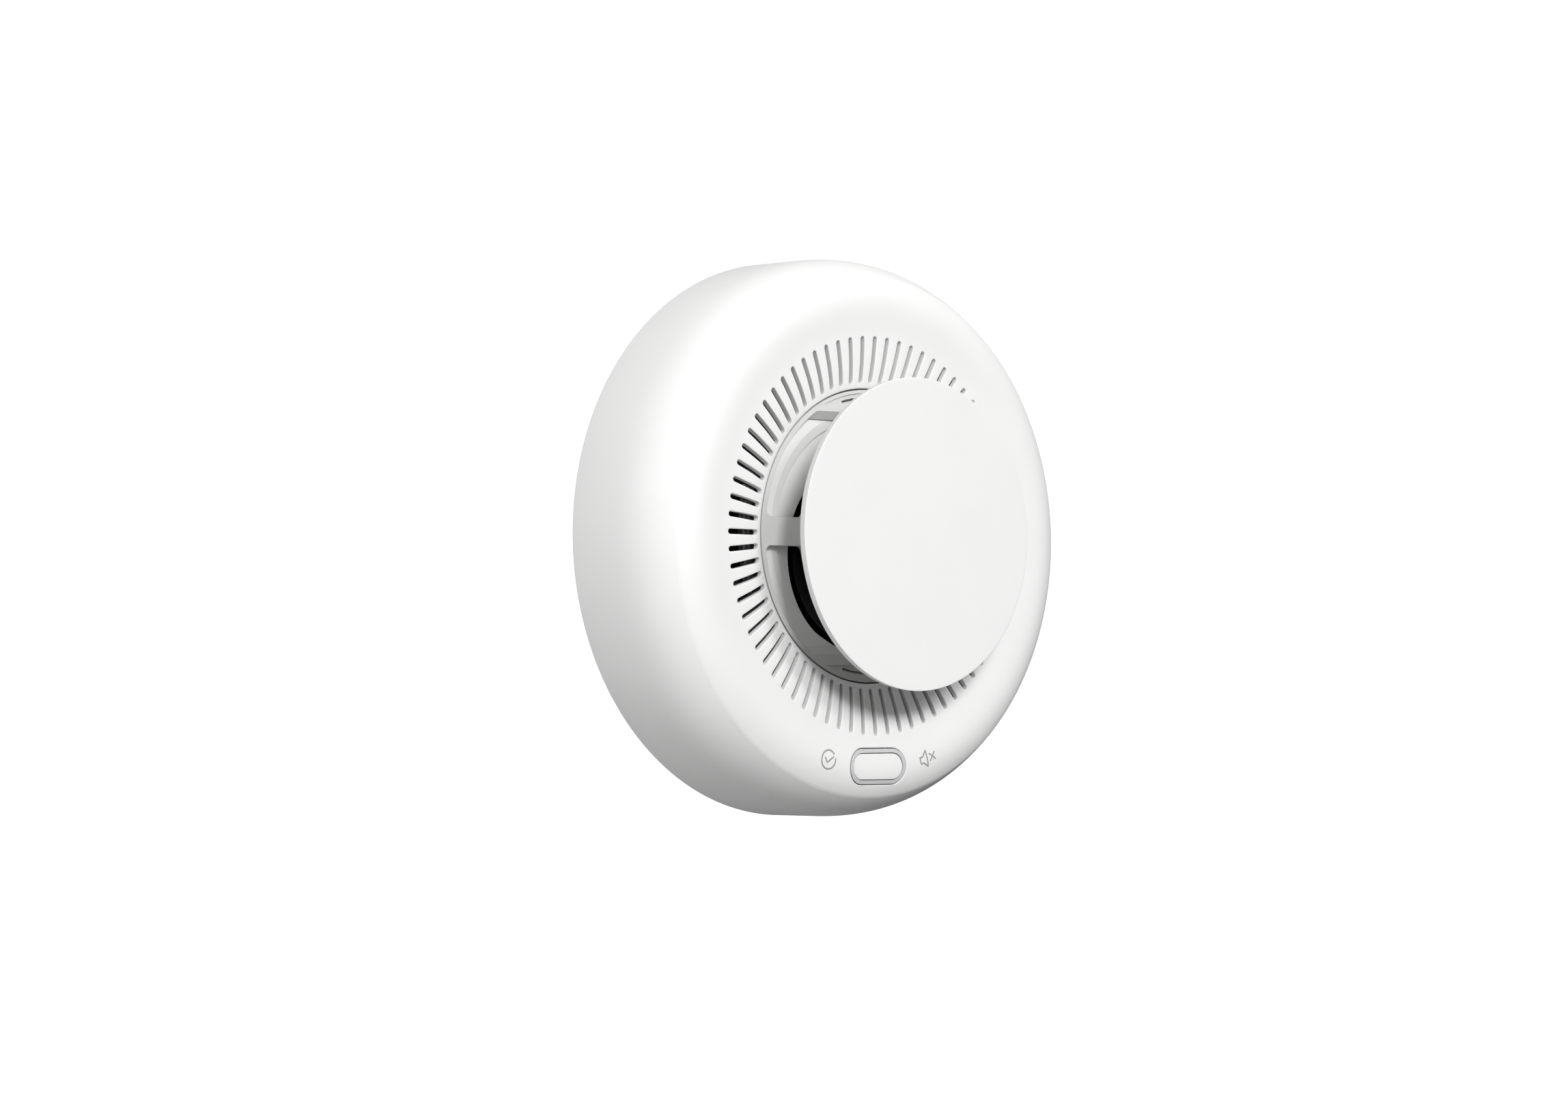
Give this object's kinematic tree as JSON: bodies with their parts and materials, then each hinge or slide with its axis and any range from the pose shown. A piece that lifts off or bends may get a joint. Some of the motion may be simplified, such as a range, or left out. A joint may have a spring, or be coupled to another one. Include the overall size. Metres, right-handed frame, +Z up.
{
  "type": "carbon monoxide and smoke alarm",
  "caption": "Round white wall alarm with a raised disc cap over a windowed air inlet, radial vent slots and a test button, on a twist-lock bracket.",
  "frame": {"origin": "centre of the bracket's face that lies on the wall", "axes": "+Z up, +Y into the wall, +X to the right as seen from the room; the front faces -Y"},
  "size_m": [0.105, 0.0403, 0.105],
  "materials": {
    "bracket_plastic": "fine moulded matte",
    "rear_plastic": "fine moulded matte",
    "housing_plastic": "smooth satin moulding",
    "frame_plastic": "smooth satin moulding",
    "cap_plastic": "very fine moulded texture",
    "guide_plastic": "light grey satin",
    "button_plastic": "smooth satin moulding",
    "diffuser_plastic": "translucent pale grey",
    "black_plastic": "light-absorbing matte black",
    "screen_steel": "blackened etched mesh",
    "clear_resin": "clear lens",
    "dark_resin": "dark filter lens",
    "board_laminate": "green solder resist",
    "cell_plastic": "off-white moulding",
    "cell_cap_steel": "pressed nickel-plated",
    "tinned_pin": "tinned",
    "sounder_plastic": "black moulding",
    "brass_disc": "rolled",
    "battery_can": "plain sleeve with bare ends",
    "lamp_resin": "lamp resin",
    "switch_plastic": "black moulding",
    "plunger_plastic": "pale moulding",
    "chip_resin": "moulded resin",
    "capacitor_can": "bare can",
    "ferrite": "pressed ferrite with winding",
    "shield_tin": "tinned sheet",
    "screw_steel": "zinc plated"
  },
  "bodies": {
    "bracket": {"mounting_bracket": "bracket_plastic"},
    "detector": {"amplifier_shield": "shield_tin", "battery": "battery_can", "battery_tabs": "tinned_pin", "board_screws": "screw_steel", "cap_column": "frame_plastic", "capacitor": "capacitor_can", "case_screws": "screw_steel", "chamber_base": "black_plastic", "chamber_cover": "black_plastic", "circuit_board": "board_laminate", "co_cell": "cell_plastic", "co_cell_cap": "cell_cap_steel", "co_cell_pins": "tinned_pin", "drive_inductor": "ferrite", "front_cover": "housing_plastic", "inlet_cap": "cap_plastic", "inlet_frame": "frame_plastic", "insect_screen": "screen_steel", "ir_emitter": "clear_resin", "light_ring": "diffuser_plastic", "microcontroller": "chip_resin", "photodiode": "dark_resin", "rear_cover": "rear_plastic", "smoke_guide": "guide_plastic", "sounder_disc": "brass_disc", "sounder_housing": "sounder_plastic", "sounder_pins": "tinned_pin", "status_leds": "lamp_resin", "surface_parts": "chip_resin", "switch_body": "switch_plastic"},
    "button": {"button_cap": "button_plastic"},
    "plunger": {"switch_plunger": "plunger_plastic"}
  },
  "joints": [
    {"name": "bracket_twist", "type": "hinge", "parent": "bracket", "child": "detector", "pos_m": [0, -0.005, 0], "axis": [0, -1, 0], "range_deg": [0, 15]},
    {"name": "button_press", "type": "slide", "parent": "detector", "child": "button", "axis": [0, 1, 0], "range_m": [0, 0.0005], "stiffness_N_per_m": 1500, "springref_m": -0.0002},
    {"name": "plunger_press", "type": "slide", "parent": "detector", "child": "plunger", "axis": [0, 1, 0], "range_m": [0, 0.0005]}
  ],
  "couplings": [
    {"joint": "plunger_press", "follows": "button_press", "ratio": 1}
  ]
}
